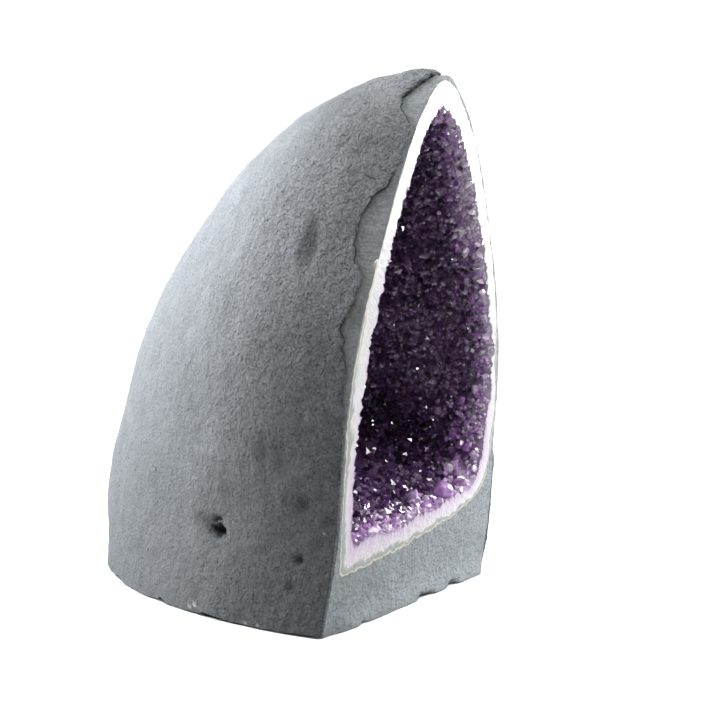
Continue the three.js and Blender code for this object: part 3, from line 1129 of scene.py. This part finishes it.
CAMERA_AZIMUTH, CAMERA_ELEVATION = -57, 9.632  # degrees
CAMERA_DISTANCE = 1743.12
CAMERA_LENS, CAMERA_SENSOR = 120, 36
CAMERA_TARGET = (108.3, 0, 142.58)
CAMERA_REACH = 50  # m

# In metres, from here on.
FLOOR_RADIUS, FLOOR_SIDES, FLOOR_GREY = 0.6, 96, 0.66
WORLD_SEEN, WORLD_GLOW = 1.1, 0.06  # brightness of the surround to the eye, and as a light
LIGHTS_AIM = (0, 0, 0.16)
COOL = (0.96, 1.0, 1.04)
SPARKLE_DISTANCE, SPARKLE_SIZE = 1.2, 0.15
# Small lights that glint in the crystals: azimuth, elevation, brightness.
SPARKLES = (
    (-100, 20, 12), (-70, 48, 14), (-35, 14, 14), (-22, 44, 30), (45, 35, 30), (75, 45, 30),
)


def aim(thing, target, azimuth, elevation, distance):
    """Stands a camera or light off from a target and turns it there; azimuth 0 faces the cut."""
    azimuth, elevation = math.radians(azimuth), math.radians(elevation)
    flat = math.cos(elevation)
    away = Vector((math.sin(azimuth) * flat, -math.cos(azimuth) * flat, math.sin(elevation)))
    thing.location = Vector(target) + away * distance
    thing.rotation_euler = away.to_track_quat("Z", "Y").to_euler()


def add_camera():
    data = bpy.data.cameras.new("camera")
    data.lens = CAMERA_LENS
    data.sensor_width = CAMERA_SENSOR
    data.clip_end = CAMERA_REACH
    camera = add_object("camera", data)
    aim(camera, to_frame(np.array(CAMERA_TARGET)), CAMERA_AZIMUTH, CAMERA_ELEVATION,
        CAMERA_DISTANCE * MM)
    bpy.context.scene.camera = camera


def add_softbox(name, azimuth, elevation, distance, size, brightness, colour=(1, 1, 1)):
    """A square area light; brightness is the radiance of its face."""
    data = bpy.data.lights.new(name, "AREA")
    data.size = size
    data.color = colour
    data.energy = brightness * math.pi * size**2
    light = add_object(name, data)
    light.visible_camera = False
    aim(light, LIGHTS_AIM, azimuth, elevation, distance)


def add_floor():
    mesh = bpy.data.meshes.new("floor")
    turn = np.linspace(0, 2 * math.pi, FLOOR_SIDES, endpoint=False)
    rim = joined(np.cos(turn), np.sin(turn), 0) * FLOOR_RADIUS
    mesh.from_pydata(rim.tolist(), [], [list(range(FLOOR_SIDES))])
    floor = add_object("floor", mesh)
    material, tree = new_material("floor_white")
    surface(tree, {"Base Color": rgba(FLOOR_GREY), "Roughness": 0.9})
    mesh.materials.append(material)


def add_world():
    """A white surround that lights the geode only softly."""
    world = bpy.data.worlds.new("studio")
    world.use_nodes = True
    tree = world.node_tree
    path = node(tree, "LightPath")
    seen, glow = (node(tree, "Background", {"Color": rgba(1), "Strength": bright})
                  for bright in (WORLD_SEEN, WORLD_GLOW))
    either = node(tree, "MixShader", {
        0: path.outputs["Is Camera Ray"], 1: glow.outputs[0], 2: seen.outputs[0],
    })
    fill(tree, tree.nodes["World Output"], {"Surface": either.outputs[0]})
    bpy.context.scene.world = world


def add_lights():
    """Softboxes round the geode: azimuth, elevation, distance, size and brightness."""
    add_world()
    add_softbox("overhead", 0, 90, 3.0, 2.2, 3.2)
    add_softbox("back_low", -165, 15, 0.9, 0.35, 43, COOL)
    add_softbox("back_high", -150, 45, 0.9, 0.35, 26, COOL)
    add_softbox("right_key", 52, 15, 0.58, 0.2, 44)
    add_softbox("front_high", 20, 52, 1.2, 0.5, 13)
    for number, (azimuth, elevation, brightness) in enumerate(SPARKLES, 1):
        add_softbox(f"sparkle_{number}", azimuth, elevation, SPARKLE_DISTANCE, SPARKLE_SIZE,
                    brightness)


def main():
    bpy.context.scene.view_settings.view_transform = "Standard"
    add_camera()
    add_floor()
    add_lights()
    cement_coat()
    rock_shell()
    agate_rind()
    quartz_bed()
    amethyst_points()


main()
